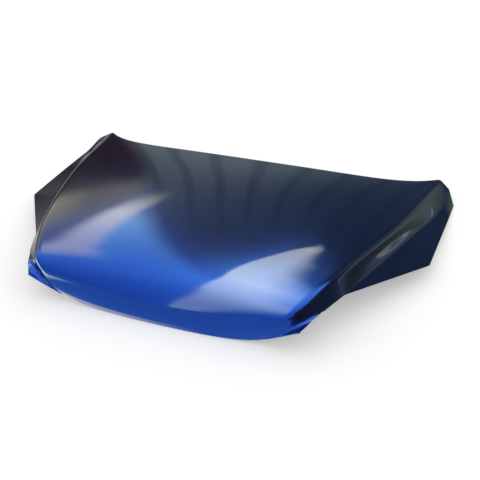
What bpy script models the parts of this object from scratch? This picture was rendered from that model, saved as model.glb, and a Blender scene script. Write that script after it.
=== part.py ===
"""Car bonnet: a hemmed outer skin on a pressed inner frame, with its hinge plates, catch and mastic.

The bonnet lies right side up, as it rests on a floor: on its front lip and on its two rear wing
corners. X points to the side, Y to the rear (windscreen) edge and Z up, all in metres.
"""
import math

import bmesh
import bpy
import numpy as np
from mathutils import Matrix, Vector
from mathutils.bvhtree import BVHTree

# Sheet and hem
SKIN = 0.0008                # outer skin thickness
SHEET = 0.0007               # inner frame thickness
HEM_CLEARANCE = 0.0008       # between the frame's rim and the skin around it
HEM_WIDTH = 0.010            # folded flange, from the fold inwards
RIM_OVERHANG = 0.002         # flat rim that shows past the flange
RIM_SETBACK = 0.0006         # rim's cut edge, from the fold's centre
FIT = 0.0003                 # clearance between pieces that touch

# Character lines, from the lip (station 0) to the rear edge (station 5).
# The wing starts at WING_STATION, and its tip is at station 3.
STATIONS = (0.0, 0.5, 1.0, 1.5, 2.0, 3.0, 4.0, 5.0)
WING_STATION = 2.0
LAST_STATION = 5.0
CENTRE_LINE = ((-0.518, 0.000), (-0.512, 0.055), (-0.478, 0.116), (-0.420, 0.150),
               (-0.330, 0.167), (-0.050, 0.160), (0.180, 0.128), (0.393, 0.078))
RIDGE = ((0.305, -0.506, 0.0205), (0.348, -0.508, 0.066), (0.388, -0.490, 0.120),
         (0.424, -0.425, 0.143), (0.462, -0.335, 0.150), (0.556, -0.060, 0.123),
         (0.617, 0.170, 0.094), (0.677, 0.516, 0.044))
FRONT_CORNER = (0.406, -0.518, 0.085)
WING_START = (0.488, -0.343, 0.100)
WING_TIP = (0.694, -0.052, 0.046)
WING_REAR = (0.740, 0.413, 0.000)
LAMP_EDGE = (FRONT_CORNER, (0.425, -0.488, 0.096), (0.442, -0.452, 0.101),
             (0.462, -0.406, 0.103), WING_START)
CREASE_STATIONS = (WING_STATION, 3.0, 4.0, 4.5, LAST_STATION)
CREASE = (WING_START, (0.578, -0.049, 0.061), (0.652, 0.190, 0.031), (0.692, 0.325, 0.018),
          (0.715, 0.468, 0.033))
WING_SIDE = (WING_TIP, (0.717, 0.180, 0.0245), WING_REAR)

# How a cross-section falls from the centre line to the ridge: powers of the half-width share
SWEEP_POWER = (2.0, 2.0, 2.0, 2.0, 2.0, 2.0, 2.5, 6.0)
CROWN_POWER = (5.0, 3.0, 2.4, 2.0, 2.0, 2.0, 2.2, 4.0)
RIDGE_SETBACK = (0.012, 0.012, 0.012, 0.012, 0.012, 0.014, 0.018, 0.022)
CREASE_SETBACK = 0.009       # each side of the lower crease
EDGE_STRIP = 0.020           # first mesh line in from a free edge
EVENING_PASSES = 3           # times that the mesh lines beside the free edge are evened
SLOPE_STEP = 0.02            # stations either side, to read a line's slope

# Inner frame
BEAM_DEPTH = 0.024           # skin to frame floor in the middle
CREASE_DEPTH = 0.012         # the same at the lower crease
WING_DEPTH = 0.006           # and under the wing
FLANGE_DEPTH = 0.0055        # skin to the flange round a cut-out
RAMP_START = 0.014           # the floor starts to drop this far from the free edge
RAMP_LENGTH = 0.030
CORNER_CUT = 0.30            # share of a cell that a cut-out's corner is rounded by

# Mesh lines: shares of the half-width, then of band (1 to 2) and wing (2 to 3)
FIRST_HOLES = (1.90, 2.90)   # stations where the front cut-outs start and end
REAR_HOLES = (3.45, 4.42)
FRONT_STEP = 0.09            # flange, and wall outside it, ahead of the front cut-outs, in stations
REAR_STEP = 0.05             # the same at the other cut-out ends
INNER_HOLES = (0.10, 0.45)   # shares of the half-width
OUTER_HOLES = (0.61, 0.89)
COLUMN_FLANGE = 0.025
COLUMN_WALL = 0.025

# Hinge plates and their weld nuts
HINGE_PLATE = (0.104, 0.050, 0.0025)
HINGE_PLACE = (4.68, 0.83)   # station and share of the half-width
HINGE_BOLT_PITCH = 0.070
M8_CLEARANCE_BORE = 0.009
M8_BORE = 0.0068
M8_NUT_FLATS = 0.013
M8_NUT_HEIGHT = 0.0065
NUT_HOLE = 0.020             # hole in the frame that a weld nut stands in

# Catch
LATCH_PLATE = (0.170, 0.056, 0.0015)
LATCH_LIP = 0.006            # turned-down edges of the latch plate
LATCH_PLACE = (1.46, 0.0)
STRIKER_PLATE = (0.090, 0.036, 0.003)
STRIKER_ROD = 0.009
STRIKER_SPAN = 0.030
STRIKER_DROP = 0.045
STRIKER_BEND = 0.011
STRIKER_BOLT_PITCH = 0.068
M6_BOLT = 0.006
M6_HEAD_FLATS = 0.010
M6_HEAD_HEIGHT = 0.004
M6_LENGTH = 0.012
BOLT_HOLE = 0.014            # hole in the frame over a bolt's end

# Nose stiffener: a hat section that follows the frame's floor behind the nose
STIFFENER_SHEET = 0.0009
STIFFENER_STATIONS = (0.77, 0.86, 0.89, 1.08, 1.11, 1.20)
STIFFENER_RISE = 0.012
STIFFENER_COLUMNS = 11
STIFFENER_CLEARANCE = 0.0006

# Stay bracket, for the prop rod
STAY_PLATE = (0.045, 0.030, 0.0015)
STAY_EAR = 0.018
STAY_HOLE = 0.011
STAY_PLACE = (1.42, 0.66)

# Mastic pads: half length and half width, and the clearance above and below
PAD_SIZE = (0.011, 0.0042)
PAD_CLEARANCE = 0.0004

COLOURS = {
    "lacquer": ((0.012, 0.035, 0.130), 0.12, 0.6),
    "primer": ((0.018, 0.019, 0.021), 0.45, 0.0),
    "zinc": ((0.62, 0.60, 0.52), 0.35, 1.0),
    "mastic": ((0.20, 0.20, 0.21), 0.80, 0.0),
}


def spline(knots, values):
    """Natural cubic spline through the values at the knots, as a function of one number."""
    knots = np.asarray(knots, float)
    values = np.asarray(values, float).reshape(len(knots), -1)
    count = len(knots)
    if count == 2:
        return lambda t: values[0] + (values[1] - values[0]) * (t - knots[0]) / (knots[1] - knots[0])
    step = np.diff(knots)
    matrix = np.eye(count)
    right = np.zeros_like(values)
    slope = np.diff(values, axis=0) / step[:, None]
    for i in range(1, count - 1):
        matrix[i, i - 1:i + 2] = step[i - 1], 2 * (step[i - 1] + step[i]), step[i]
        right[i] = 6 * (slope[i] - slope[i - 1])
    bend = np.linalg.solve(matrix, right)

    def value(t):
        i = int(np.clip(np.searchsorted(knots, t) - 1, 0, count - 2))
        h = step[i]
        a = (knots[i + 1] - t) / h
        b = (t - knots[i]) / h
        cubic = (a ** 3 - a) * bend[i] + (b ** 3 - b) * bend[i + 1]
        return a * values[i] + b * values[i + 1] + cubic * h * h / 6

    return value


centre_line = spline(STATIONS, [(0.0, y, z) for y, z in CENTRE_LINE])
ridge_line = spline(STATIONS, RIDGE)
lamp_edge = spline(STATIONS[:5], LAMP_EDGE)
crease = spline(CREASE_STATIONS, CREASE)
lamp_to_tip = spline(STATIONS[4:6], (WING_START, WING_TIP))
wing_side = spline(STATIONS[5:], WING_SIDE)
sweep_power = spline(STATIONS, SWEEP_POWER)
crown_power = spline(STATIONS, CROWN_POWER)
ridge_setback = spline(STATIONS, RIDGE_SETBACK)


def crease_point(t):
    return lamp_edge(t) if t < WING_STATION else crease(t)


def edge_point(t):
    if t <= WING_STATION:
        return lamp_edge(t)
    return lamp_to_tip(t) if t < 3 else wing_side(t)


def unit(vector):
    return vector / max(np.linalg.norm(vector), 1e-12)


class Section:
    """One cross-section: centre to ridge (u 0 to 1), band (1 to 2) and wing (2 to 3)."""

    def __init__(self, t, depth=False):
        self.t = t
        self.points = [centre_line(t), ridge_line(t), crease_point(t), edge_point(t)]
        self.powers = float(sweep_power(t)[0]), float(crown_power(t)[0])
        if depth:
            self.sink()

    def sink(self):
        """Move the lines to the frame's floor, mitred where two faces meet."""
        t = self.t
        ahead = Section(min(t + SLOPE_STEP, LAST_STATION))
        behind = Section(max(t - SLOPE_STEP, 0.0))
        along = [unit(a - b) for a, b in zip(ahead.points, behind.points)]
        p = self.points
        top_tangent = unit(p[1] - self.raw(0.97))
        band_tangent = unit(p[2] - p[1])
        wing_tangent = unit(p[3] - p[2]) if t > WING_STATION else band_tangent
        centre = unit(np.cross((1.0, 0.0, 0.0), along[0]))
        top = unit(np.cross(top_tangent, along[1]))
        band = unit(np.cross(band_tangent, along[1]))
        wing = unit(np.cross(wing_tangent, along[2]))
        p[0] = p[0] - centre * BEAM_DEPTH
        p[1] = p[1] - (top + band) / (1 + top @ band) * BEAM_DEPTH
        p[2] = p[2] - (band + wing) / (1 + band @ wing) * CREASE_DEPTH
        p[3] = p[3] - wing * WING_DEPTH

    def raw(self, u):
        """Point on the section with sharp corners."""
        p = self.points
        if u <= 1:
            sweep, crown = self.powers
            y = p[0][1] + (p[1][1] - p[0][1]) * u ** sweep
            z = p[0][2] + (p[1][2] - p[0][2]) * u ** crown
            return np.array((p[1][0] * u, y, z))
        if u <= 2:
            return p[1] + (p[2] - p[1]) * (u - 1)
        return p[2] + (p[3] - p[2]) * (u - 2)

    def spans(self):
        p = self.points
        return [max(np.linalg.norm(b - a), 1e-9) for a, b in zip(p, p[1:])]

    def columns(self):
        """The lines' places along the section, the free edge last."""
        top, band, wing = self.spans()
        soft = float(ridge_setback(self.t)[0])
        low = EDGE_STRIP if self.t <= WING_STATION else CREASE_SETBACK
        rim = max(1 - EDGE_STRIP / wing, 0.45)
        start, end = 1 + soft / band, 2 - low / band
        return PLAIN_COLUMNS + [1 - soft / top, 1.0, start, (start + end) / 2, end, 2.0,
                                2 + min(CREASE_SETBACK / wing, 0.25), 2 + rim, 3.0]

    def at(self, u):
        """Point on the section with the ridge and the crease rounded."""
        top, band, wing = self.spans()
        soft = float(ridge_setback(self.t)[0])
        corners = [(1.0, soft / top, soft / band)] if self.t < LAST_STATION else []
        if self.t > WING_STATION:
            corners.append((2.0, CREASE_SETBACK / band, min(CREASE_SETBACK / wing, 0.25)))
        for corner, before, after in corners:
            if corner - before < u < corner + after:
                s = (u - corner + before) / (before + after)
                a, b, c = (self.raw(place) for place in (corner - before, corner, corner + after))
                return (1 - s) ** 2 * a + 2 * s * (1 - s) * b + s * s * c
        return self.raw(u)


def flanked(start, end, flange, wall, inside):
    """Lines of one cut-out: wall foot, shoulder, edge, one line inside, and the same mirrored."""
    lines = [start - flange - wall, start - flange, start, start + inside]
    return lines + [end - inside, end, end + flange, end + flange + wall]


PLAIN_COLUMNS = ([0.0] + flanked(*INNER_HOLES, COLUMN_FLANGE, COLUMN_WALL, 0.045)
                 + flanked(*OUTER_HOLES, COLUMN_FLANGE, COLUMN_WALL, 0.045))
HALF = len(PLAIN_COLUMNS) + 8
ROWS = ([0.0, 0.25, 0.5, 0.75, 1.0, 1.25, 1.4, 1.52, 1.62]
        + flanked(*FIRST_HOLES, FRONT_STEP, FRONT_STEP, 0.10)[:4] + [2.4]
        + flanked(*FIRST_HOLES, REAR_STEP, REAR_STEP, 0.10)[4:]
        + flanked(*REAR_HOLES, REAR_STEP, REAR_STEP, 0.11) + [4.72, 4.90, 5.0])


def build_grid(place):
    """Grid of points, keyed by row and signed column, with the left half mirrored."""
    grid = {}
    for row, t in enumerate(ROWS):
        for column in range(HALF + 1):
            point = place(row, column)
            grid[row, column] = point
            grid[row, -column] = point * (-1, 1, 1)
    return grid


def canonical(row, column):
    """Ahead of the wing, its columns are all the point on the free edge."""
    side = -1 if column < 0 else 1
    first_wing = HALF - 3
    if ROWS[row] <= WING_STATION and abs(column) > first_wing:
        return row, side * first_wing
    return row, column


def split(quad, skin):
    """Two triangles of a quad, cut where the skin's own quad at those four points stands proud."""
    a, b, c, d = (SKIN_POINTS[canonical(*key)] for key in skin)
    proud = (a + c - b - d) @ np.cross(c - a, d - b) > 0
    corner = canonical(*skin[0]), canonical(*skin[2])
    other = canonical(*skin[1]), canonical(*skin[3])
    if any(key in CORNER_KEYS for key in corner + other):
        proud = any(key in CORNER_KEYS for key in corner)
    a, b, c, d = quad
    return [[a, b, c], [a, c, d]] if proud else [[b, c, d], [b, d, a]]


def grid_faces(skip=()):
    """Faces of the grid, seen from above, as lists of keys."""
    faces = []
    for row in range(len(ROWS) - 1):
        for column in range(-HALF, HALF):
            if (row, column) in skip:
                continue
            quad = [(row, column), (row, column + 1), (row + 1, column + 1), (row + 1, column)]
            for corner in split(quad, quad):
                keys = list(dict.fromkeys(canonical(*key) for key in corner))
                if len(keys) > 2:
                    faces.append(keys)
    return faces


def boundary_keys():
    """Keys round the free edge: along the lip, up the right side, back along the rear."""
    last = len(ROWS) - 1
    keys = [(0, c) for c in range(-HALF + 3, HALF - 2)]
    keys += [canonical(r, HALF) for r in range(1, last)]
    keys += [(last, c) for c in range(HALF, -HALF - 1, -1)]
    keys += [canonical(r, -HALF) for r in range(last - 1, 0, -1)]
    return keys


SECTIONS = [Section(t) for t in ROWS]
FLOORS = [Section(t, depth=True) for t in ROWS]
COLUMN_PLACES = [section.columns() for section in SECTIONS]
SKIN_POINTS = build_grid(lambda r, c: SECTIONS[r].at(COLUMN_PLACES[r][c]))
EDGE_KEYS = boundary_keys()
CORNER_KEYS = [(row, side * column) for side in (-1, 1)
               for row, column in ((0, HALF - 3), (len(ROWS) - 1, HALF))]


def face_normal(points):
    total = np.zeros(3)
    for a, b in zip(points, points[1:] + points[:1]):
        total += np.cross(a, b)
    return unit(total)


def point_normals(faces, points, near=None):
    """Mean face normal at each key, of all its faces or of those that touch the set near."""
    normals = {}
    for keys in faces:
        if near and not any(key in near for key in keys):
            continue
        normal = face_normal([points[key] for key in keys])
        for key in keys:
            normals[key] = normals.get(key, np.zeros(3)) + normal
    return {key: unit(value) for key, value in normals.items()}


def inner_neighbour(key):
    """The grid point next in from a point on the free edge; diagonal at the four corners."""
    row, column = key
    last = len(ROWS) - 1
    side = -1 if column < 0 else 1
    front_end = HALF - 3
    if row == 0:
        return 1, column - side if abs(column) == front_end else column
    if row == last:
        return last - 1, column - side if abs(column) == HALF else column
    return row, column - side


def edge_ways(points, square=False):
    """At each free-edge point, its tangent and the way inwards, longer where the edge turns."""
    ways = {}
    for before, key, after in zip(EDGE_KEYS[-1:] + EDGE_KEYS, EDGE_KEYS, EDGE_KEYS[1:] + EDGE_KEYS):
        ahead = unit(points[after] - points[key])
        tangent = unit(ahead + unit(points[key] - points[before]))
        way = unit(points[inner_neighbour(key)] - points[key])
        square_way = unit(way - tangent * (way @ tangent))
        stretch = max(ahead @ tangent, 0.5)
        if square:
            way = square_way
        else:
            stretch *= max(way @ square_way, 0.5)
        ways[key] = tangent, way / stretch
    return ways


def fine_skin():
    """Search tree of the skin's right half, finely divided."""
    shares = np.concatenate([np.linspace(0, 1, 31), np.linspace(1, 3, 41)[1:]])
    points = []
    for t in np.linspace(0, LAST_STATION, 151):
        section = Section(t)
        points += [section.at(u) for u in shares]
    width = len(shares)
    faces = [(i, i + 1, i + width + 1, i + width)
             for i in range(len(points) - width) if (i + 1) % width]
    return BVHTree.FromPolygons(points, faces)


def put_pair(points, row, column, place):
    points[row, column] = place
    points[row, -column] = place * (-1, 1, 1)


def square_first_lines(points):
    """Lay the mesh line next to the free edge an even strip's width inside it."""
    skin = fine_skin()
    for key, (tangent, way) in edge_ways(points, square=True).items():
        inner = inner_neighbour(key)
        corner = abs(inner[1]) != abs(key[1]) and inner[0] != key[0]
        shared = inner[0] in (1, len(ROWS) - 2) and abs(inner[1]) in (HALF - 4, HALF - 1)
        if key[1] < 0 or (shared and not corner):
            continue
        place = skin.find_nearest(Vector(points[key] + way * EDGE_STRIP))[0]
        put_pair(points, *inner, np.array(place))
    for column in range(1, HALF - 4):
        middle = (points[1, column] + points[3, column]) / 2
        put_pair(points, 2, column, np.array(skin.find_nearest(Vector(middle))[0]))


def edge_frames():
    """At each free-edge point: the point, the outward normal and the way inwards."""
    ways = edge_ways(SKIN_POINTS)
    start = ROWS.index(WING_STATION)
    for side in (-1, 1):
        wing = unit(ways[start + 1, side * HALF][1])
        for row in range(1, start + 1):
            key = canonical(row, side * HALF)
            tangent, way = ways[key]
            share = np.clip((ROWS[row] - 1.2) / 0.8, 0, 1)
            ways[key] = tangent, unit(unit(way) * (1 - share) + wing * share)
    return {key: (SKIN_POINTS[key], unit(np.cross(tangent, way)), way)
            for key, (tangent, way) in ways.items()}


for _ in range(EVENING_PASSES):
    square_first_lines(SKIN_POINTS)
FACES = grid_faces()
NORMALS = point_normals(FACES, SKIN_POINTS)
FRAMES = edge_frames()
HEM_HEIGHT = 2 * SKIN + SHEET + 2 * HEM_CLEARANCE


def material(name):
    found = bpy.data.materials.get(name)
    if found:
        return found
    colour, roughness, metallic = COLOURS[name]
    made = bpy.data.materials.new(name)
    made.use_nodes = True
    shader = made.node_tree.nodes["Principled BSDF"]
    shader.inputs["Base Color"].default_value = (*colour, 1.0)
    shader.inputs["Roughness"].default_value = roughness
    shader.inputs["Metallic"].default_value = metallic
    made.diffuse_color = (*colour, 1.0)
    return made


def add_object(name, mesh, slot, parent=None):
    mesh.materials.append(material(slot))
    made = bpy.data.objects.new(name, mesh)
    made.parent = parent
    bpy.context.scene.collection.objects.link(made)
    return made


def mesh_from(name, points, faces):
    """Mesh from a table of points and the lists of keys that make its faces."""
    keys = sorted({key for face in faces for key in face}, key=str)
    place = {key: i for i, key in enumerate(keys)}
    mesh = bpy.data.meshes.new(name)
    mesh.from_pydata([points[key] for key in keys], [], [[place[k] for k in f] for f in faces])
    mesh.validate()
    mesh.shade_smooth()
    mesh.set_sharp_from_angle(angle=math.radians(35))
    return mesh


def mesh_from_bmesh(name, work):
    bmesh.ops.recalc_face_normals(work, faces=work.faces[:])
    mesh = bpy.data.meshes.new(name)
    work.to_mesh(mesh)
    work.free()
    mesh.shade_smooth()
    mesh.set_sharp_from_angle(angle=math.radians(35))
    return mesh


def closed_sheet(name, upper, lower, faces):
    """Mesh of a sheet: upper faces, lower faces and the cut edge that joins them."""
    sides = [(a, b) for face in faces for a, b in zip(face, face[1:] + face[:1])]
    used = set(sides)
    points = {("upper", key): upper[key] for face in faces for key in face}
    points.update({("lower", key): lower[key] for face in faces for key in face})
    shell = [[("upper", key) for key in face] for face in faces]
    shell += [[("lower", key) for key in reversed(face)] for face in faces]
    shell += [[("upper", b), ("upper", a), ("lower", a), ("lower", b)]
              for a, b in sides if (b, a) not in used]
    return mesh_from(name, points, shell)


def ring_faces(first, second):
    """Faces between two rows of keys that both follow the free edge, cut as the skin beside them is."""
    faces = []
    for key, after in zip(EDGE_KEYS, EDGE_KEYS[1:] + EDGE_KEYS[:1]):
        quad = [(first, *key), (second, *key), (second, *after), (first, *after)]
        quad = [corner if corner[0] else corner[1:] for corner in quad]
        faces += split(quad, [key, inner_neighbour(key), inner_neighbour(after), after])
    return faces


def outer_panel(parent):
    """The skin, its fold round the free edge and the flange that the fold ends in."""
    upper = dict(SKIN_POINTS)
    lower = {key: upper[key] - normal * SKIN for key, normal in NORMALS.items()}
    radius = HEM_HEIGHT / 2
    for key, (point, normal, inward) in FRAMES.items():
        middle = point - normal * radius
        under = point - normal * HEM_HEIGHT
        lower[key] = point - normal * SKIN
        upper["fold", *key] = middle - inward * radius
        lower["fold", *key] = middle - inward * (radius - SKIN)
        upper["bottom", *key] = under
        lower["bottom", *key] = under + normal * SKIN
        upper["flange", *key] = under + inward * HEM_WIDTH
        lower["flange", *key] = under + normal * SKIN + inward * HEM_WIDTH
    faces = FACES + ring_faces("", "fold") + ring_faces("fold", "bottom")
    faces += ring_faces("bottom", "flange")
    return add_object("outer_panel", closed_sheet("outer_panel", upper, lower, faces), "lacquer", parent)


def edge_distance(point):
    """Distance from a point to the free edge."""
    ends = np.array([FRAMES[key][0] for key in EDGE_KEYS])
    along = np.roll(ends, -1, axis=0) - ends
    share = np.einsum("ij,ij->i", point - ends, along) / np.einsum("ij,ij->i", along, along)
    nearest = ends + along * np.clip(share, 0, 1)[:, None]
    return np.linalg.norm(nearest - point, axis=1).min()


def smooth(share):
    share = min(max(share, 0.0), 1.0)
    return share * share * (3 - 2 * share)


def hole_blocks():
    """Each cut-out as first row, last row, first column and last column of its edge lines."""
    rows = [(ROWS.index(a), ROWS.index(b)) for a, b in (FIRST_HOLES, REAR_HOLES)]
    columns = [(PLAIN_COLUMNS.index(a), PLAIN_COLUMNS.index(b)) for a, b in (INNER_HOLES, OUTER_HOLES)]
    return [(*r, *c) for r in rows for c in columns]


def frame_depth(row, column):
    """Share of the full depth at a grid line: shallow on the flanges round the cut-outs."""
    for top, bottom, left, right in hole_blocks():
        if top - 1 <= row <= bottom + 1 and left - 1 <= column <= right + 1:
            return FLANGE_DEPTH / BEAM_DEPTH
    return 1.0


def frame_point(row, column):
    """Grid point of the inner frame's upper face."""
    skin = SKIN_POINTS[row, column]
    floor = FLOORS[row].at(COLUMN_PLACES[row][column])
    rim = skin - NORMALS[canonical(row, column)] * (SKIN + HEM_CLEARANCE)
    share = smooth((edge_distance(skin) - RAMP_START) / RAMP_LENGTH)
    share = min(share, frame_depth(row, column))
    return rim * (1 - share) + floor * share


def round_corners(grid):
    """Pull the corner points of each cut-out, its flange and its wall foot round the corner."""
    moved = {}
    for top, bottom, left, right in hole_blocks():
        for row, step in ((top, 1), (bottom, -1)):
            for column, move in ((left, 1), (right, -1)):
                corner = grid[row, column]
                shift = (grid[row + step, column] + grid[row, column + move] - 2 * corner) * CORNER_CUT
                for out in range(3):
                    key = row - out * step, column - out * move
                    moved[key] = grid[key] + shift * (1 - 0.3 * out)
    for (row, column), point in moved.items():
        grid[row, column] = point
        grid[row, -column] = point * (-1, 1, 1)


def inner_frame(parent):
    """One pressed sheet: rim in the hem, ramp to the floor, beams and flanged cut-outs."""
    grid = build_grid(frame_point)
    round_corners(grid)
    for key, (point, normal, inward) in FRAMES.items():
        level = point - normal * (SKIN + HEM_CLEARANCE)
        grid[key] = level + inward * (HEM_WIDTH + RIM_OVERHANG)
        grid["rim", *key] = level + inward * RIM_SETBACK
    holes = set()
    for top, bottom, left, right in hole_blocks():
        for row in range(top, bottom):
            for column in range(left, right):
                holes |= {(row, column), (row, -column - 1)}
    faces = grid_faces(holes) + ring_faces("", "rim")
    normals = point_normals(faces, grid)
    for key, (point, normal, inward) in FRAMES.items():
        normals[key] = normals["rim", *key] = normal
    lower = {key: grid[key] - normal * SHEET for key, normal in normals.items()}
    return add_object("inner_frame", closed_sheet("inner_frame", grid, lower, faces), "primer", parent)


def tree_of(item):
    mesh = item.data
    points = [vertex.co for vertex in mesh.vertices]
    return BVHTree.FromPolygons(points, [tuple(face.vertices) for face in mesh.polygons])


def axes_at(t, u):
    """Point on the frame's floor, with the ways across and rearwards and the upward normal."""
    origin = Section(t, depth=True).at(u)
    across = Section(t, depth=True).at(u + 0.01) - origin
    along = Section(t + 0.01, depth=True).at(u) - origin
    normal = unit(np.cross(across, along))
    across = unit(across)
    return origin, across, np.cross(normal, across), normal


def seat(place, size, tree):
    """Frame of reference whose z = 0 plane lies flat under the floor, a fit away from it."""
    origin, across, along, normal = axes_at(*place)
    reach = 0.03
    gaps = []
    for i in np.linspace(-0.5, 0.5, 41):
        for j in np.linspace(-0.5, 0.5, 21):
            start = origin + across * size[0] * i + along * size[1] * j - normal * reach
            gaps.append(tree.ray_cast(Vector(start), Vector(normal))[3] - reach)
    origin = origin + normal * (min(gaps) - FIT)
    matrix = Matrix((across, along, normal)).transposed().to_4x4()
    matrix.translation = Vector(origin)
    return matrix


def mirrored(matrix):
    return Matrix.Diagonal((-1, 1, 1, 1)) @ matrix


def circle(radius, sides=12):
    turn = 2 * math.pi / sides
    return [(radius * math.cos(turn * i), radius * math.sin(turn * i)) for i in range(sides)]


def hexagon(flats):
    """Twelve points round a hexagon: its corners and the middles of its flats."""
    corner = flats / 2 / math.cos(math.pi / 6)
    radii = [corner, flats / 2] * 6
    return [(r * math.cos(math.pi / 6 * i), r * math.sin(math.pi / 6 * i)) for i, r in enumerate(radii)]


def solid(name, slot, parent, rings, matrix, hollow=False):
    """Body of rings of points, capped at both ends, or closed on itself if hollow."""
    work = bmesh.new()
    loops = [[work.verts.new(matrix @ Vector(point)) for point in ring] for ring in rings]
    pairs = list(zip(loops, loops[1:] + loops[:1] if hollow else loops[1:]))
    for first, second in pairs:
        for a, b, c, d in zip(first, first[1:] + first[:1], second[1:] + second[:1], second):
            work.faces.new((a, b, c, d))
    if not hollow:
        work.faces.new(loops[0])
        work.faces.new(loops[-1])
    return add_object(name, mesh_from_bmesh(name, work), slot, parent)


def lifted(loop, height, shift=0.0):
    return [(x + shift, y, height) for x, y in loop]


def profile_body(name, slot, parent, profile, length, matrix):
    """Prism of a profile in y and z, its length across."""
    rings = [[(side * length / 2, y, z) for y, z in profile] for side in (-1, 1)]
    return solid(name, slot, parent, rings, matrix)


def bore(item, diameter, matrix, shift=0.0, sides=16, depth=0.03):
    """Cut a round hole through an item along the z axis of a frame of reference."""
    ring = circle(diameter / 2, sides)
    cutter = solid("cutter", "zinc", None, [lifted(ring, z, shift) for z in (-depth, depth)], matrix)
    cutter.hide_render = True
    cutter.display_type = "WIRE"
    cut = item.modifiers.new("bore", "BOOLEAN")
    cut.operation = "DIFFERENCE"
    cut.solver = "EXACT"
    cut.object = cutter
    view = bpy.context.evaluated_depsgraph_get()
    mesh = bpy.data.meshes.new_from_object(item.evaluated_get(view))
    item.modifiers.remove(cut)
    item.data = mesh
    bpy.data.objects.remove(cutter, do_unlink=True)


def hinge_side(side, parent, frame, tree):
    """Hinge plate with two weld nuts, which stand in holes through the frame."""
    matrix = seat(HINGE_PLACE, HINGE_PLATE, tree)
    if side == "left":
        matrix = mirrored(matrix)
    length, width, thick = HINGE_PLATE
    profile = [(-width / 2, -thick), (width / 2, -thick), (width / 2, 0), (-width / 2, 0)]
    plate = profile_body("hinge_plate_" + side, "primer", parent, profile, length, matrix)
    for end, shift in (("inner", -HINGE_BOLT_PITCH / 2), ("outer", HINGE_BOLT_PITCH / 2)):
        bore(plate, M8_CLEARANCE_BORE, matrix, shift)
        bore(frame, NUT_HOLE, matrix, shift)
        outside, inside = hexagon(M8_NUT_FLATS), circle(M8_BORE / 2)
        low, high = FIT, FIT + M8_NUT_HEIGHT
        rings = [lifted(outside, low, shift), lifted(outside, high, shift),
                 lifted(inside, high, shift), lifted(inside, low, shift)]
        solid("hinge_nut_%s_%s" % (side, end), "zinc", parent, rings, matrix, hollow=True)


def catch(parent, frame, tree):
    """Latch plate under the front beam, with the striker bolted to it."""
    matrix = seat(LATCH_PLACE, LATCH_PLATE, tree)
    length, width, thick = LATCH_PLATE
    half = width / 2
    profile = [(-half, 0), (-half, -LATCH_LIP), (thick - half, -LATCH_LIP), (thick - half, -thick),
               (half - thick, -thick), (half - thick, -LATCH_LIP), (half, -LATCH_LIP), (half, 0)]
    latch = profile_body("latch_reinforcement", "primer", parent, profile, length, matrix)
    length, width, striker_thick = STRIKER_PLATE
    top = -thick - FIT
    bottom = top - striker_thick
    profile = [(-width / 2, bottom), (width / 2, bottom), (width / 2, top), (-width / 2, top)]
    striker = profile_body("striker_plate", "zinc", parent, profile, length, matrix)
    for side in (-1, 1):
        bore(striker, STRIKER_ROD + 2 * FIT, matrix, side * STRIKER_SPAN / 2)
    for side, shift in (("left", -STRIKER_BOLT_PITCH / 2), ("right", STRIKER_BOLT_PITCH / 2)):
        bore(latch, M6_BOLT + 2 * FIT, matrix, shift)
        bore(striker, M6_BOLT + 2 * FIT, matrix, shift)
        bore(frame, BOLT_HOLE, matrix, shift)
        under = bottom - FIT
        head, shank = hexagon(M6_HEAD_FLATS), circle(M6_BOLT / 2)
        rings = [lifted(circle(M6_HEAD_FLATS * 0.45), under - M6_HEAD_HEIGHT, shift),
                 lifted(head, under - M6_HEAD_HEIGHT + 0.0006, shift), lifted(head, under, shift),
                 lifted(shank, under, shift), lifted(shank, under + M6_LENGTH, shift)]
        solid("striker_bolt_" + side, "zinc", parent, rings, matrix)
    half, low = STRIKER_SPAN / 2, bottom - STRIKER_DROP
    spots = [(-half, top - FIT, 0.0)]
    for turn in np.linspace(0, 1, 7) * math.pi / 2:
        spots.append((-half + STRIKER_BEND * (1 - math.cos(turn)),
                      low + STRIKER_BEND * (1 - math.sin(turn)), turn))
    spots += [(-x, z, math.pi - turn) for x, z, turn in reversed(spots)]
    rings = [[(x + a * math.cos(turn), b, z + a * math.sin(turn)) for a, b in circle(STRIKER_ROD / 2)]
             for x, z, turn in spots]
    solid("striker_loop", "zinc", parent, rings, matrix)


def stay_bracket(parent, tree):
    """Angle under the front beam, with the hole that takes the prop rod's end in its ear."""
    matrix = seat(STAY_PLACE, STAY_PLATE, tree)
    length, width, thick = STAY_PLATE
    half = width / 2
    profile = [(-half, 0), (-half, -thick), (half - thick, -thick), (half - thick, -STAY_EAR),
               (half, -STAY_EAR), (half, 0)]
    bracket = profile_body("stay_bracket", "zinc", parent, profile, length, matrix)
    across = Matrix.Translation((0, half, -(STAY_EAR + thick) / 2)) @ Matrix.Rotation(math.pi / 2, 4, "X")
    bore(bracket, STAY_HOLE, matrix @ across, depth=2 * thick)


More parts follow.
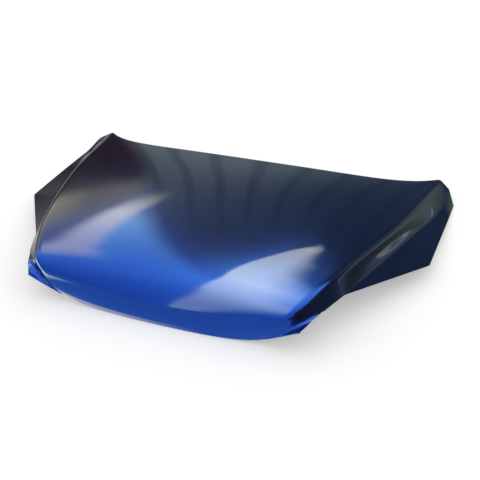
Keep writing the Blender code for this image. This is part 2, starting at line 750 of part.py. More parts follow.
def nose_stiffener(parent, tree):
    """Hat section that stands on the frame's floor behind the nose."""
    rises = (0.0, 0.0, STIFFENER_RISE, STIFFENER_RISE, 0.0, 0.0)
    grid = {}
    for column in range(STIFFENER_COLUMNS):
        for row, (t, rise) in enumerate(zip(STIFFENER_STATIONS, rises)):
            floor, across, along, normal = axes_at(t, PLAIN_COLUMNS[column])
            start = floor + normal * BEAM_DEPTH / 2
            hit = tree.ray_cast(Vector(start), Vector(-normal))[0]
            low = np.array(hit) + normal * (STIFFENER_CLEARANCE + rise)
            for key, point in ((("lower", row), low), (("upper", row), low + normal * STIFFENER_SHEET)):
                grid[(*key, column)] = point
                grid[(*key, -column)] = point * (-1, 1, 1)
    last = STIFFENER_COLUMNS - 1
    faces = [[(row, c), (row, c + 1), (row + 1, c + 1), (row + 1, c)]
             for row in range(len(rises) - 1) for c in range(-last, last)]
    upper = {key[1:]: point for key, point in grid.items() if key[0] == "upper"}
    lower = {key[1:]: point for key, point in grid.items() if key[0] == "lower"}
    mesh = closed_sheet("nose_stiffener", upper, lower, faces)
    return add_object("nose_stiffener", mesh, "primer", parent)


def mastic_pad(name, place, parent, skin_tree, frame_tree, flip):
    """Pad of cured sealant between the skin and the flange of a cut-out."""
    section = Section(place[0])
    origin = section.at(place[1])
    across = unit(section.at(place[1] + 0.01) - origin)
    along = Section(place[0] + 0.01).at(place[1]) - origin
    normal = unit(np.cross(across, along))
    along = np.cross(normal, across)
    middle = origin - normal * (SKIN + FLANGE_DEPTH) / 2
    rings = [[], []]
    for x, y in circle(1.0):
        start = Vector(middle + across * x * PAD_SIZE[0] + along * y * PAD_SIZE[1])
        up = skin_tree.ray_cast(start, Vector(normal))[3] - PAD_CLEARANCE
        down = frame_tree.ray_cast(start, Vector(-normal))[3] - PAD_CLEARANCE
        rings[0].append(start - Vector(normal) * down)
        rings[1].append(start + Vector(normal) * up)
    solid(name, "mastic", parent, rings, mirrored(Matrix()) if flip else Matrix())


def mastic(parent, skin_tree, frame_tree):
    """A pad at the front and the rear edge of each cut-out."""
    number = 0
    for top, bottom, left, right in hole_blocks():
        share = (PLAIN_COLUMNS[left] + PLAIN_COLUMNS[right]) / 2
        for t in ((ROWS[top] + ROWS[top - 1]) / 2, (ROWS[bottom] + ROWS[bottom + 1]) / 2):
            for flip in (False, True):
                number += 1
                mastic_pad("mastic_%02d" % number, (t, share), parent, skin_tree, frame_tree, flip)


def clear_scene():
    for item in list(bpy.data.objects):
        bpy.data.objects.remove(item, do_unlink=True)


def stand_on_origin(parent):
    """Move the meshes so that the middle of the box's underside is the origin."""
    pieces = parent.children
    points = np.array([vertex.co for piece in pieces for vertex in piece.data.vertices])
    low, high = points.min(axis=0), points.max(axis=0)
    shift = Matrix.Translation((-(low[0] + high[0]) / 2, -(low[1] + high[1]) / 2, -low[2]))
    for piece in pieces:
        piece.data.transform(shift)


def build():
    clear_scene()
    bonnet = bpy.data.objects.new("bonnet", None)
    bpy.context.scene.collection.objects.link(bonnet)
    skin = outer_panel(bonnet)
    frame = inner_frame(bonnet)
    skin_tree, frame_tree = tree_of(skin), tree_of(frame)
    for side in ("left", "right"):
        hinge_side(side, bonnet, frame, frame_tree)
    catch(bonnet, frame, frame_tree)
    stay_bracket(bonnet, frame_tree)
    nose_stiffener(bonnet, frame_tree)
    mastic(bonnet, skin_tree, frame_tree)
    bpy.context.view_layer.update()
    stand_on_origin(bonnet)


build()
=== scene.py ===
"""Car bonnet in blue-black lacquer, lying right side up on a pale studio floor.

The skin is rebuilt as a fine surface from the same character lines as the solid model. The frame
underneath and the small fittings keep their solids' shapes, with their edges and walls softened.
"""
import math

import bmesh
import bpy
import numpy as np
from mathutils import Matrix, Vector
from mathutils.bvhtree import BVHTree

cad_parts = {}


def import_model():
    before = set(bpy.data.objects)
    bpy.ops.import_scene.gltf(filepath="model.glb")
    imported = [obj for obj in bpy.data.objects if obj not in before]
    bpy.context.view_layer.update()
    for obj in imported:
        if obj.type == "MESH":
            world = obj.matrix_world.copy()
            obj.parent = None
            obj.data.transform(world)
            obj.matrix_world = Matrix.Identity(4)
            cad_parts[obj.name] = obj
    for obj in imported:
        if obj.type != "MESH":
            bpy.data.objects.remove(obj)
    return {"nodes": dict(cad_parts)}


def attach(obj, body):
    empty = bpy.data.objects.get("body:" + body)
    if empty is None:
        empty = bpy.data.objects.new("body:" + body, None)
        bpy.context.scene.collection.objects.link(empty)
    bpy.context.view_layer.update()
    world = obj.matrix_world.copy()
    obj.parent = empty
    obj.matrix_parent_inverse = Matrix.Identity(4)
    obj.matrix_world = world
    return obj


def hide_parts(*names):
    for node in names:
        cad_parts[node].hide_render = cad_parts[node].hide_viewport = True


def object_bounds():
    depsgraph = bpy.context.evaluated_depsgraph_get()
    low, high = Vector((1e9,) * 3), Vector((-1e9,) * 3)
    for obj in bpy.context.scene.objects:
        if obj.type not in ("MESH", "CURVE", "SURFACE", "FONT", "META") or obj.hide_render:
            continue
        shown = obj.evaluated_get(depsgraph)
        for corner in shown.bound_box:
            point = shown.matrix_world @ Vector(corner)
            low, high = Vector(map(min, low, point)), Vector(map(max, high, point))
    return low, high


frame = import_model()
CAD_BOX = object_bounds()

# The model's frame lies this far from the one that the character lines are written in
SHIFT = np.array((0.0, 0.00045, 0.0028))

# Sheet and hem, in metres
SKIN = 0.0008
HEM_HEIGHT = 0.0039
HEM_WIDTH = 0.010

# Ahead of TUCK_BEFORE the frame's rim is pulled in: SKIN_ROOM under the skin's outer face and
# EDGE_ROOM in from its free edge. Where both of its faces are pulled in, the sheet is squeezed
# to FRAME_SHEET, thinner than the solid's.
TUCK_BEFORE = -0.39
SKIN_ROOM = 0.0030
EDGE_ROOM = 0.003
FRAME_SHEET = 0.0004

# A vertex this near the free edge, and this far aside of it, counts as past it
EDGE_REACH = 0.008
EDGE_SLACK = 0.0003

# Character lines from the lip (station 0) to the rear edge (station 5)
STATIONS = (0.0, 0.5, 1.0, 1.5, 2.0, 3.0, 4.0, 5.0)
CENTRE_LINE = ((-0.518, 0.000), (-0.512, 0.055), (-0.478, 0.116), (-0.420, 0.150),
               (-0.330, 0.167), (-0.050, 0.160), (0.180, 0.128), (0.393, 0.078))
RIDGE = ((0.305, -0.506, 0.0205), (0.348, -0.508, 0.066), (0.388, -0.490, 0.120),
         (0.424, -0.425, 0.143), (0.462, -0.335, 0.150), (0.556, -0.060, 0.123),
         (0.617, 0.170, 0.094), (0.677, 0.516, 0.044))
FRONT_CORNER = (0.406, -0.518, 0.085)
WING_START = (0.488, -0.343, 0.100)
WING_TIP = (0.694, -0.052, 0.046)
WING_REAR = (0.740, 0.413, 0.000)
LAMP_EDGE = (FRONT_CORNER, (0.425, -0.488, 0.096), (0.442, -0.452, 0.101),
             (0.462, -0.406, 0.103), WING_START)
CREASE_STATIONS = (2.0, 3.0, 4.0, 4.5, 5.0)
CREASE = (WING_START, (0.578, -0.049, 0.061), (0.652, 0.190, 0.031), (0.692, 0.325, 0.018),
          (0.715, 0.468, 0.033))
WING_SIDE = (WING_TIP, (0.717, 0.180, 0.0245), WING_REAR)
SWEEP_POWER = (2.0, 2.0, 2.0, 2.0, 2.0, 2.0, 2.5, 6.0)
CROWN_POWER = (5.0, 3.0, 2.4, 2.0, 2.0, 2.0, 2.2, 4.0)
RIDGE_SETBACK = (0.012, 0.012, 0.012, 0.012, 0.012, 0.014, 0.018, 0.012)
CREASE_SETBACK = 0.009

# Fine mesh: rows of sections, and columns in each part of a section
ROWS = 150
COLUMNS = (46, 9, 7, 7, 11)
FOLD_STEPS = 6

# Stations between which the hem turns from the lamp edge's way to the one at the wing's start
LAMP_HEM_STATIONS = (1.2, 2.0)
WING_HEM_STATION = 2.05

# An edge sharper than this stays sharp
SKIN_SHARP = math.radians(38)
PIECE_SHARP = math.radians(35)

# Strength of the world's plain light and of the floor's own glow; 1 is white
STUDIO_LIGHT = 0.80
FLOOR_GLOW = 0.32
FLOOR_SIZE = 9.0

# Camera fitted to the photograph
CAMERA_PLACE = (0.696, -1.827, 1.2567)
CAMERA_RIGHT = (0.9471, 0.3208, -0.0070)
CAMERA_AHEAD = (-0.2709, 0.7878, -0.5532)
CAMERA_LENS = 51.0
CAMERA_SENSOR = 36.0

# What glossy rays see in place of the plain light, each as red, green and blue
SLATE_RIGHT = (0.06, 0.10, 0.125)
SLATE_LEFT = (0.20, 0.245, 0.24)
SLATE_HIGH = (0.40, 0.45, 0.40)
SLATE_REAR = (0.06, 0.09, 0.12)
STRIPE = (0.03, 0.05, 0.07)
ARC = (3.6, 3.4, 2.4)
OLIVE_INNER = (0.50, 0.46, 0.30)
OLIVE_OUTER = (1.2, 1.05, 0.6)
OLIVE_LOW = (0.10, 0.08, 0.06)
REAR_CORNER = (0.03, 0.008, 0.006)
RIGHT_FRONT = (0.10, 0.12, 0.09)
RIGHT_REAR = (0.22, 0.27, 0.17)
HORIZON = (1.5, 1.5, 1.5)
SKY = ((0.15, (1.2, 2.3, 2.7)), (0.45, (0.6, 1.5, 2.3)), (0.75, (0.30, 0.80, 1.6)),
       (0.95, (0.17, 0.55, 1.3)))
LEAF = ((0.2, (3.6, 3.8, 3.0)), (0.4, (8.2, 8.8, 5.2)), (0.65, (5.2, 6.4, 4.6)),
        (0.9, (2.2, 3.0, 2.6)))
# Painted reflections on the floor, seen only by glossy rays: a bright pool of light ahead on the
# left and a bright patch by the lip glow there though no lamp does, and the floor is dark to the
# right
FLOOR_MIDDLE = (0.50, 0.46, 0.40)
FLOOR_AHEAD = (0.24, 0.70, 1.30)
FLOOR_REAR = (0.22, 0.25, 0.25)
FLOOR_LIP_HIGHLIGHT = (3.2, 2.8, 1.6)
FLOOR_LIGHT_POOL = (6.0, 5.6, 2.6)
FLOOR_RIGHT = (0.09, 0.09, 0.06)

# Edge of the arc and width of the slim bright panel, each at a share of half a turn
ARC_CENTRE = ((0.12, 0.565), (0.153, 0.529), (0.178, 0.510), (0.224, 0.494), (0.312, 0.486),
              (0.403, 0.503), (0.651, 0.574))
LEAF_WIDTH = ((0.16, 0.012), (0.22, 0.085), (0.32, 0.125), (0.50, 0.09), (0.85, 0.05))

# Edge of the slim bright panel: the direction's share to the right, at turns in radians
LEAF_TURNS = (0.524, 0.562, 0.619, 0.701, 0.814, 0.965, 1.172, 1.519, 2.223, 2.916)
LEAF_EDGE = (-0.072, -0.099, -0.130, -0.161, -0.191, -0.221, -0.254, -0.298, -0.342, -0.350)
LEAF_STOPS = 31


def spline(knots, values):
    """Natural cubic spline through the values at the knots."""
    knots = np.asarray(knots, float)
    values = np.asarray(values, float).reshape(len(knots), -1)
    count = len(knots)
    if count == 2:
        span = knots[1] - knots[0]
        return lambda t: values[0] + (values[1] - values[0]) * (t - knots[0]) / span
    step = np.diff(knots)
    matrix = np.eye(count)
    right = np.zeros_like(values)
    slope = np.diff(values, axis=0) / step[:, None]
    for i in range(1, count - 1):
        matrix[i, i - 1:i + 2] = step[i - 1], 2 * (step[i - 1] + step[i]), step[i]
        right[i] = 6 * (slope[i] - slope[i - 1])
    bend = np.linalg.solve(matrix, right)

    def value(t):
        i = int(np.clip(np.searchsorted(knots, t) - 1, 0, count - 2))
        h = step[i]
        a = (knots[i + 1] - t) / h
        b = (t - knots[i]) / h
        cubic = (a ** 3 - a) * bend[i] + (b ** 3 - b) * bend[i + 1]
        return a * values[i] + b * values[i + 1] + cubic * h * h / 6

    return value


centre_line = spline(STATIONS, [(0.0, y, z) for y, z in CENTRE_LINE])
ridge_line = spline(STATIONS, RIDGE)
lamp_edge = spline(STATIONS[:5], LAMP_EDGE)
crease = spline(CREASE_STATIONS, CREASE)
lamp_to_tip = spline(STATIONS[4:6], (WING_START, WING_TIP))
wing_side = spline(STATIONS[5:], WING_SIDE)
sweep_power = spline(STATIONS, SWEEP_POWER)
crown_power = spline(STATIONS, CROWN_POWER)
ridge_setback = spline(STATIONS, RIDGE_SETBACK)


def unit(vector):
    return vector / max(np.linalg.norm(vector), 1e-12)


def smooth(share):
    share = min(max(share, 0.0), 1.0)
    return share * share * (3 - 2 * share)


def section_lines(t):
    """Centre, ridge, crease and free edge of the section at station t."""
    if t <= 2:
        edge = lamp_edge(t)
        return [centre_line(t), ridge_line(t), edge, edge]
    edge = lamp_to_tip(t) if t < 3 else wing_side(t)
    return [centre_line(t), ridge_line(t), crease(t), edge]


def section_points(t):
    """One half section, from the centre line to the free edge, ridge and crease rounded."""
    p = section_lines(t)
    sweep = float(sweep_power(t)[0])
    crown = float(crown_power(t)[0])

    def raw(u):
        if u <= 1:
            y = p[0][1] + (p[1][1] - p[0][1]) * u ** sweep
            z = p[0][2] + (p[1][2] - p[0][2]) * u ** crown
            return np.array((p[1][0] * u, y, z))
        if u <= 2:
            return p[1] + (p[2] - p[1]) * (u - 1)
        return p[2] + (p[3] - p[2]) * (u - 2)

    top, band, wing = [max(np.linalg.norm(b - a), 1e-9) for a, b in zip(p, p[1:])]
    soft = float(ridge_setback(t)[0])
    low = CREASE_SETBACK * smooth((t - 2) / 0.5)
    bends = [(1 - soft / top, 1.0, 1 + soft / band)]
    bends.append((2 - low / band, 2.0, 2 + min(low / wing, 0.25)))

    def at(u):
        for start, corner, end in bends:
            if start < u < end:
                s = (u - start) / (end - start)
                a, b, c = raw(start), raw(corner), raw(end)
                return (1 - s) ** 2 * a + 2 * s * (1 - s) * b + s * s * c
        return raw(u)

    stops = [0.0, bends[0][0], bends[0][2], bends[1][0], bends[1][2], 3.0]
    shares = [0.0]
    for start, end, count in zip(stops, stops[1:], COLUMNS):
        shares += list(np.linspace(start, end, count + 1)[1:])
    return np.array([at(u) for u in shares]) + SHIFT


HALF = sum(COLUMNS)
LAMP_COLUMN = HALF - COLUMNS[4]
STATION = np.linspace(0, 5, ROWS)


def canonical(row, column):
    """Ahead of the wing, its columns are all the point on the free edge."""
    side = -1 if column < 0 else 1
    if STATION[row] <= 2 and abs(column) > LAMP_COLUMN:
        return row, side * LAMP_COLUMN
    return row, column


def skin_grid():
    grid = {}
    for row, t in enumerate(STATION):
        for column, point in enumerate(section_points(t)):
            grid[row, column] = point
            grid[row, -column] = point * (-1, 1, 1)
    return grid


def skin_faces():
    faces = []
    for row in range(ROWS - 1):
        for column in range(-HALF, HALF):
            quad = [(row, column), (row, column + 1), (row + 1, column + 1), (row + 1, column)]
            keys = list(dict.fromkeys(canonical(*key) for key in quad))
            if len(keys) > 2:
                faces.append(keys)
    return faces


def boundary_keys():
    """Keys round the free edge, anticlockwise as seen from above."""
    last = ROWS - 1
    keys = [(0, c) for c in range(-LAMP_COLUMN, LAMP_COLUMN + 1)]
    keys += [canonical(r, HALF) for r in range(1, last)]
    keys += [(last, c) for c in range(HALF, -HALF - 1, -1)]
    keys += [canonical(r, -HALF) for r in range(last - 1, 0, -1)]
    return keys


def point_normals(grid, faces):
    normals = {}
    for keys in faces:
        points = [grid[key] for key in keys]
        total = np.zeros(3)
        for a, b in zip(points, points[1:] + points[:1]):
            total += np.cross(a, b)
        for key in keys:
            normals[key] = normals.get(key, np.zeros(3)) + total
    return {key: unit(value) for key, value in normals.items()}


def edge_frames(grid, normals, keys):
    """At each free-edge point: outward normal and way inwards, turned at the lamp edge."""
    ways = {}
    for before, key, after in zip(keys[-1:] + keys, keys, keys[1:] + keys):
        ahead = unit(grid[after] - grid[key])
        tangent = unit(ahead + unit(grid[key] - grid[before]))
        ways[key] = tangent, unit(np.cross(normals[key], tangent)), max(ahead @ tangent, 0.5)
    start = int(np.searchsorted(STATION, WING_HEM_STATION))
    lamp, wing_start = LAMP_HEM_STATIONS
    for side in (-1, 1):
        wing = ways[start, side * HALF][1]
        for row in range(1, start):
            key = canonical(row, side * HALF)
            tangent, way, stretch = ways[key]
            share = min(max((STATION[row] - lamp) / (wing_start - lamp), 0.0), 1.0)
            ways[key] = tangent, unit(way * (1 - share) + wing * share), stretch
    return {key: (unit(np.cross(tangent, way)), way / stretch)
            for key, (tangent, way, stretch) in ways.items()}


def bonnet_skin():
    """The outer skin with its rolled hem, as one sheet."""
    grid = skin_grid()
    faces = skin_faces()
    keys = boundary_keys()
    frames = edge_frames(grid, point_normals(grid, faces), keys)
    radius = HEM_HEIGHT / 2
    rings = [keys]
    for step in range(1, FOLD_STEPS + 1):
        turn = math.pi * step / FOLD_STEPS
        up, out = radius * math.cos(turn), radius * math.sin(turn)
        for key in keys:
            normal, way = frames[key]
            grid["fold", step, key] = grid[key] - normal * radius + normal * up - way * out
        rings.append([("fold", step, key) for key in keys])
    for key in keys:
        grid["flange", key] = grid[key] - frames[key][0] * HEM_HEIGHT + frames[key][1] * HEM_WIDTH
    rings.append([("flange", key) for key in keys])
    for first, second in zip(rings, rings[1:]):
        for a, b, c, d in zip(first, second, second[1:] + second[:1], first[1:] + first[:1]):
            faces.append([a, b, c, d])
    used = sorted({key for face in faces for key in face}, key=str)
    place = {key: i for i, key in enumerate(used)}
    mesh = bpy.data.meshes.new("bonnet_skin")
    mesh.from_pydata([grid[key] for key in used], [], [[place[k] for k in f] for f in faces])
    mesh.validate()
    mesh.shade_smooth()
    mesh.set_sharp_from_angle(angle=SKIN_SHARP)
    skin = bpy.data.objects.new("bonnet_skin", mesh)
    bpy.context.scene.collection.objects.link(skin)
    thick = skin.modifiers.new("sheet", "SOLIDIFY")
    thick.thickness = SKIN
    thick.offset = -1
    skin.data.materials.append(LACQUER)
    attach(skin, "root")
    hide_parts("outer_panel")


def node_tree(name):
    made = bpy.data.materials.new(name)
    made.use_nodes = True
    return made, made.node_tree, made.node_tree.nodes["Principled BSDF"]


def link_noise(tree, scale, detail):
    """Noise over object coordinates; returns its factor socket."""
    coords = tree.nodes.new("ShaderNodeTexCoord")
    noise = tree.nodes.new("ShaderNodeTexNoise")
    noise.inputs["Scale"].default_value = scale
    noise.inputs["Detail"].default_value = detail
    tree.links.new(coords.outputs["Object"], noise.inputs["Vector"])
    return noise.outputs["Fac"]


def ramp(tree, socket, stops, interpolation="LINEAR"):
    """Colour ramp over a factor; stops are (position, colour)."""
    node = tree.nodes.new("ShaderNodeValToRGB")
    node.color_ramp.interpolation = interpolation
    node.color_ramp.elements.remove(node.color_ramp.elements[1])
    node.color_ramp.elements[0].position = stops[0][0]
    node.color_ramp.elements[0].color = (*stops[0][1], 1)
    for position, colour in stops[1:]:
        node.color_ramp.elements.new(position).color = (*colour, 1)
    tree.links.new(socket, node.inputs["Fac"])
    return node.outputs["Color"]


def bump(tree, socket, strength, distance):
    node = tree.nodes.new("ShaderNodeBump")
    node.inputs["Strength"].default_value = strength
    node.inputs["Distance"].default_value = distance
    tree.links.new(socket, node.inputs["Height"])
    return node.outputs["Normal"]


def grey(value):
    return value, value, value


def lacquer():
    made, tree, shader = node_tree("lacquer")
    shader.inputs["Metallic"].default_value = 1.0
    shader.inputs["Coat Weight"].default_value = 1.0
    shader.inputs["Coat Roughness"].default_value = 0.03
    shader.inputs["Coat IOR"].default_value = 1.55
    flakes = link_noise(tree, 900.0, 2.0)
    colour = ramp(tree, flakes, [(0.30, (0.004, 0.026, 0.180)), (0.70, (0.007, 0.036, 0.240))])
    tree.links.new(colour, shader.inputs["Base Color"])
    dust = link_noise(tree, 22.0, 6.0)
    gloss = ramp(tree, dust, [(0.35, grey(0.19)), (0.75, grey(0.24))])
    tree.links.new(gloss, shader.inputs["Roughness"])
    peel = link_noise(tree, 260.0, 1.0)
    tree.links.new(bump(tree, peel, 0.02, 0.0004), shader.inputs["Coat Normal"])
    return made


def satin(name, low, high, rough, metallic=0.0, scale=60.0, depth=0.0003):
    """Painted or plated finish with soft mottling, uneven gloss and a fine grain."""
    made, tree, shader = node_tree(name)
    shader.inputs["Metallic"].default_value = metallic
    shade = link_noise(tree, scale, 5.0)
    tree.links.new(ramp(tree, shade, [(0.3, low), (0.7, high)]), shader.inputs["Base Color"])
    wear = link_noise(tree, scale * 0.4, 6.0)
    gloss = ramp(tree, wear, [(0.3, grey(rough[0])), (0.7, grey(rough[1]))])
    tree.links.new(gloss, shader.inputs["Roughness"])
    grain = link_noise(tree, scale * 12, 3.0)
    tree.links.new(bump(tree, grain, 0.25, depth), shader.inputs["Normal"])
    return made


LACQUER = lacquer()
PRIMER = satin("primer", (0.010, 0.011, 0.013), (0.024, 0.025, 0.028), (0.34, 0.52))
ZINC = satin("zinc", (0.50, 0.47, 0.36), (0.68, 0.66, 0.58), (0.28, 0.46), metallic=1.0,
             scale=180.0)
MASTIC = satin("mastic", (0.14, 0.14, 0.15), (0.24, 0.24, 0.25), (0.75, 0.9), scale=300.0,
               depth=0.0006)


def dressed(name, material, bevel=0.0, levels=0):
    """Copy of a node's solid with softened edges, or with its pressed walls rounded."""
    node = frame["nodes"][name]
    work = bmesh.new()
    work.from_mesh(node.data)
    bmesh.ops.remove_doubles(work, verts=work.verts[:], dist=0.00001)
    if bevel:
        bmesh.ops.dissolve_limit(work, angle_limit=math.radians(0.5), verts=work.verts[:],
                                 edges=work.edges[:])
    if levels:
        bmesh.ops.join_triangles(work, faces=work.faces[:], angle_face_threshold=math.radians(40),
                                 angle_shape_threshold=math.radians(60))
    mesh = bpy.data.meshes.new(name + "_finish")
    work.to_mesh(mesh)
    work.free()
    mesh.shade_smooth()
    mesh.set_sharp_from_angle(angle=PIECE_SHARP)
    piece = bpy.data.objects.new(name + "_finish", mesh)
    bpy.context.scene.collection.objects.link(piece)
    mesh.materials.clear()
    mesh.materials.append(material)
    if bevel:
        edge = piece.modifiers.new("edge", "BEVEL")
        edge.width = bevel
        edge.segments = 2
        edge.limit_method = "ANGLE"
        edge.angle_limit = PIECE_SHARP
        edge.harden_normals = True
    if levels:
        finer = piece.modifiers.new("finer", "SUBSURF")
        finer.levels = finer.render_levels = levels
    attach(piece, "root")
    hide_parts(name)
    return piece


def tuck_under(piece):
    """Set the front of a piece's finished mesh back under the skin, and off its free edge."""
    grid = skin_grid()
    faces = skin_faces()
    place = {key: i for i, key in enumerate(sorted({key for face in faces for key in face}))}
    skin = BVHTree.FromPolygons([tuple(grid[key]) for key in place],
                                [[place[key] for key in face] for face in faces])
    finished = piece.evaluated_get(bpy.context.evaluated_depsgraph_get())
    mesh = bpy.data.meshes.new_from_object(finished)
    for vertex, facing in zip(mesh.vertices, [tuple(v.normal) for v in mesh.vertices]):
        if vertex.co.y > TUCK_BEFORE:
            continue
        near, normal, _, _ = skin.find_nearest(vertex.co)
        offset = vertex.co - near
        aside = offset - normal * offset.dot(normal)
        if offset.length < EDGE_REACH and aside.length > EDGE_SLACK:
            vertex.co -= aside * (1 + EDGE_ROOM / aside.length)
        room = SKIN_ROOM + (FRAME_SHEET if normal.dot(facing) < 0 else 0.0)
        depth = (near - vertex.co).dot(normal)
        if depth < room:
            vertex.co -= normal * (room - depth)
    piece.modifiers.clear()
    piece.data = mesh
    mesh.set_sharp_from_angle(angle=PIECE_SHARP)


bonnet_skin()
tuck_under(dressed("inner_frame", PRIMER, levels=1))
for node_name in sorted(frame["nodes"]):
    if node_name.startswith("mastic"):
        dressed(node_name, MASTIC, bevel=0.0008)
    elif node_name.startswith(("nose_stiffener", "latch_reinforcement", "hinge_plate")):
        dressed(node_name, PRIMER, bevel=0.0003)
    elif node_name not in ("outer_panel", "inner_frame"):
        dressed(node_name, ZINC, bevel=0.0004)


def calc(tree, operation, *values):
    """Result of a math node over sockets and numbers."""
    node = tree.nodes.new("ShaderNodeMath")
    node.operation = operation
    for value, socket in zip(values, node.inputs):
        if isinstance(value, (int, float)):
            socket.default_value = value
        else:
            tree.links.new(value, socket)
    return node.outputs[0]


def rise(tree, value, low, high):
    """Smooth step from 0 at low to 1 at high."""
    node = tree.nodes.new("ShaderNodeMapRange")
    node.interpolation_type = "SMOOTHSTEP"
    node.inputs["From Min"].default_value = min(low, high)
    node.inputs["From Max"].default_value = max(low, high)
    if low > high:
        node.inputs["To Min"].default_value = 1.0
        node.inputs["To Max"].default_value = 0.0
    tree.links.new(value, node.inputs["Value"])
    return node.outputs[0]


def laid(tree, under, over, *masks):
    """One colour laid over another where every mask is 1."""
    mask = masks[0]
    for more in masks[1:]:
        mask = calc(tree, "MULTIPLY", mask, more)
    node = tree.nodes.new("ShaderNodeMix")
    node.data_type = "RGBA"
    tree.links.new(mask, node.inputs["Factor"])
    for colour, socket in ((under, node.inputs["A"]), (over, node.inputs["B"])):
        if isinstance(colour, tuple):
            socket.default_value = (*colour, 1)
        else:
            tree.links.new(colour, socket)
    return node.outputs["Result"]


def coordinates(tree, output):
    """The x, y and z of a texture coordinate."""
    coords = tree.nodes.new("ShaderNodeTexCoord")
    split = tree.nodes.new("ShaderNodeSeparateXYZ")
    tree.links.new(coords.outputs[output], split.inputs[0])
    return split.outputs


def floor_painted_reflections(tree):
    """Painted reflections on the floor, seen only by glossy rays: blue ahead, dark at the right, a
    painted highlight patch by the lip and a painted pool of light ahead on the left.
    """
    x, y, _ = coordinates(tree, "Object")
    look = laid(tree, FLOOR_MIDDLE, FLOOR_AHEAD, rise(tree, y, -0.40, -0.53))
    look = laid(tree, look, FLOOR_REAR, rise(tree, y, 0.2, 0.5))
    # Painted bright patch under the lip, which shows as a painted highlight on the lip's hem
    look = laid(tree, look, FLOOR_LIP_HIGHLIGHT, rise(tree, y, -0.535, -0.528), rise(tree, y, -0.45, -0.50),
                rise(tree, x, 0.15, -0.15))
    # Painted pool of light ahead on the left, seen only in reflections
    look = laid(tree, look, FLOOR_LIGHT_POOL, rise(tree, y, -0.42, -0.60), rise(tree, y, -0.95, -0.75),
                rise(tree, x, -0.42, -0.52), rise(tree, x, -1.2, -0.9))
    beyond = laid(tree, FLOOR_RIGHT, RIGHT_REAR, rise(tree, y, 0.1, 0.6))
    return laid(tree, look, beyond, rise(tree, x, 0.42, 0.55))


def floor():
    """Pale floor at the bonnet's lowest point; glossy rays see painted reflections on it instead,
    coloured patches that glow for reflections only.
    """
    made, tree, shader = node_tree("floor")
    shader.inputs["Roughness"].default_value = 0.9
    shader.inputs["Specular IOR Level"].default_value = 0.0
    shader.inputs["Emission Strength"].default_value = 1.0
    mirrored = tree.nodes.new("ShaderNodeLightPath").outputs["Is Glossy Ray"]
    tree.links.new(laid(tree, grey(0.9), grey(0.0), mirrored), shader.inputs["Base Color"])
    glow = laid(tree, grey(FLOOR_GLOW), floor_painted_reflections(tree), mirrored)
    tree.links.new(glow, shader.inputs["Emission Color"])
    low = CAD_BOX[0][2]
    corners = [(x * FLOOR_SIZE, y * FLOOR_SIZE, low)
               for x, y in ((-1, -1), (1, -1), (1, 1), (-1, 1))]
    mesh = bpy.data.meshes.new("floor")
    mesh.from_pydata(corners, [], [(0, 1, 2, 3)])
    mesh.materials.append(made)
    piece = bpy.data.objects.new("floor", mesh)
    bpy.context.scene.collection.objects.link(piece)


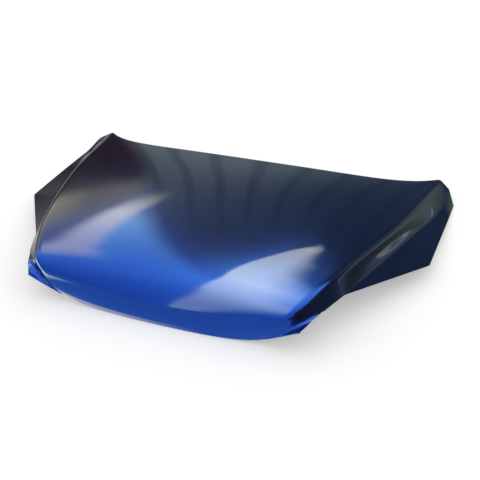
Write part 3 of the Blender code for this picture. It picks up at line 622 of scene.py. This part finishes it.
def surroundings(tree):
    """What glossy rays see around: slate, a blue panel, a pale arc and a slim bright panel.

    The panels' edges run from the rear horizon over the top to the front: turn is the angle of
    that way round, in radians, and x the direction's share to the right.
    """
    x, y, z = coordinates(tree, "Generated")
    turn = calc(tree, "ARCTAN2", z, y)
    half_turns = calc(tree, "DIVIDE", turn, math.pi)

    slate = laid(tree, SLATE_RIGHT, SLATE_LEFT, rise(tree, x, 0.0, -0.4))
    slate = laid(tree, slate, SLATE_HIGH, rise(tree, turn, 0.5, 1.3), rise(tree, x, 0.1, -0.2))
    slate = laid(tree, slate, SLATE_REAR, rise(tree, turn, 0.5, 0.2), rise(tree, x, -0.25, 0.05))
    bearing = calc(tree, "ARCTAN2", x, y)
    stripes = calc(tree, "SINE", calc(tree, "MULTIPLY", bearing, 90.0))
    stripes = calc(tree, "MULTIPLY", rise(tree, stripes, 0.2, 1.0), 0.5)
    look = laid(tree, slate, STRIPE, stripes, rise(tree, turn, 0.75, 0.25), rise(tree, y, 0.3, 0.5))

    left = calc(tree, "SUBTRACT", calc(tree, "MULTIPLY_ADD", turn, 0.134, -0.49), x)
    left = calc(tree, "MULTIPLY", rise(tree, left, -0.02, 0.05), rise(tree, turn, 0.40, 0.62))
    start = calc(tree, "MAXIMUM", calc(tree, "MULTIPLY_ADD", x, -3.7, 0.45), 1.0)
    ahead = rise(tree, calc(tree, "SUBTRACT", turn, start), -0.06, 0.10)
    look = laid(tree, look, ramp(tree, half_turns, SKY), calc(tree, "MAXIMUM", left, ahead))

    centre = ramp(tree, half_turns, [(at, grey(value)) for at, value in ARC_CENTRE], "CARDINAL")
    beside = calc(tree, "SUBTRACT", centre, calc(tree, "ADD", x, 1.0))
    look = laid(tree, look, ARC, rise(tree, beside, -0.045, -0.01), rise(tree, turn, 0.34, 0.54),
                rise(tree, turn, 1.7, 1.2))
    olive = laid(tree, OLIVE_INNER, OLIVE_OUTER, rise(tree, x, -0.54, -0.62))
    olive = laid(tree, olive, OLIVE_LOW, rise(tree, z, 0.30, 0.18))
    look = laid(tree, look, olive, rise(tree, beside, 0.01, 0.05), rise(tree, turn, 1.7, 1.2))

    look = laid(tree, look, REAR_CORNER, rise(tree, x, -0.43, -0.49), rise(tree, turn, 0.34, 0.20),
                rise(tree, y, 0.0, 0.2))
    beyond = laid(tree, RIGHT_FRONT, RIGHT_REAR, rise(tree, y, 0.35, 0.65))
    look = laid(tree, look, beyond, rise(tree, x, 0.22, 0.45), rise(tree, z, 0.78, 0.62))
    look = laid(tree, look, HORIZON, rise(tree, x, 0.45, 0.65), rise(tree, z, 0.03, 0.015),
                rise(tree, y, 0.35, 0.55), rise(tree, y, 0.80, 0.68))

    edge_line = spline(LEAF_TURNS, LEAF_EDGE)
    stops = np.geomspace(LEAF_TURNS[0], LEAF_TURNS[-1], LEAF_STOPS)
    edge = ramp(tree, half_turns, [(t / math.pi, grey(1 + float(edge_line(t)[0]))) for t in stops])
    width = ramp(tree, half_turns, [(at, grey(value)) for at, value in LEAF_WIDTH])
    inside = calc(tree, "SUBTRACT", calc(tree, "ADD", x, 1.0), edge)
    share = calc(tree, "DIVIDE", inside, width)
    return laid(tree, look, ramp(tree, half_turns, LEAF), rise(tree, inside, -0.003, 0.003),
                rise(tree, share, 1.05, 0.45), rise(tree, turn, 0.50, 0.56))


def world():
    """Plain grey light, white to the camera; glossy rays see the coloured surroundings instead."""
    made = bpy.data.worlds.new("studio")
    made.use_nodes = True
    tree = made.node_tree
    path = tree.nodes.new("ShaderNodeLightPath")
    colour = laid(tree, grey(STUDIO_LIGHT), grey(1.0), path.outputs["Is Camera Ray"])
    colour = laid(tree, colour, surroundings(tree), path.outputs["Is Glossy Ray"])
    tree.links.new(colour, tree.nodes["Background"].inputs["Color"])
    tree.nodes["Background"].inputs["Strength"].default_value = 1.0
    bpy.context.scene.world = made


def camera():
    """Camera at the photograph's viewing angle."""
    data = bpy.data.cameras.new("camera")
    data.lens = CAMERA_LENS
    data.sensor_width = CAMERA_SENSOR
    made = bpy.data.objects.new("camera", data)
    ahead = unit(np.array(CAMERA_AHEAD))
    up = unit(np.cross(CAMERA_RIGHT, ahead))
    axes = np.array((np.cross(ahead, up), up, -ahead)).T
    place = np.array(CAMERA_PLACE) + SHIFT
    rows = [[*row, x] for row, x in zip(axes, place)]
    made.matrix_world = Matrix(rows + [[0, 0, 0, 1]])
    bpy.context.scene.collection.objects.link(made)
    bpy.context.scene.camera = made


floor()
world()
camera()
bpy.context.scene.view_settings.view_transform = "Standard"
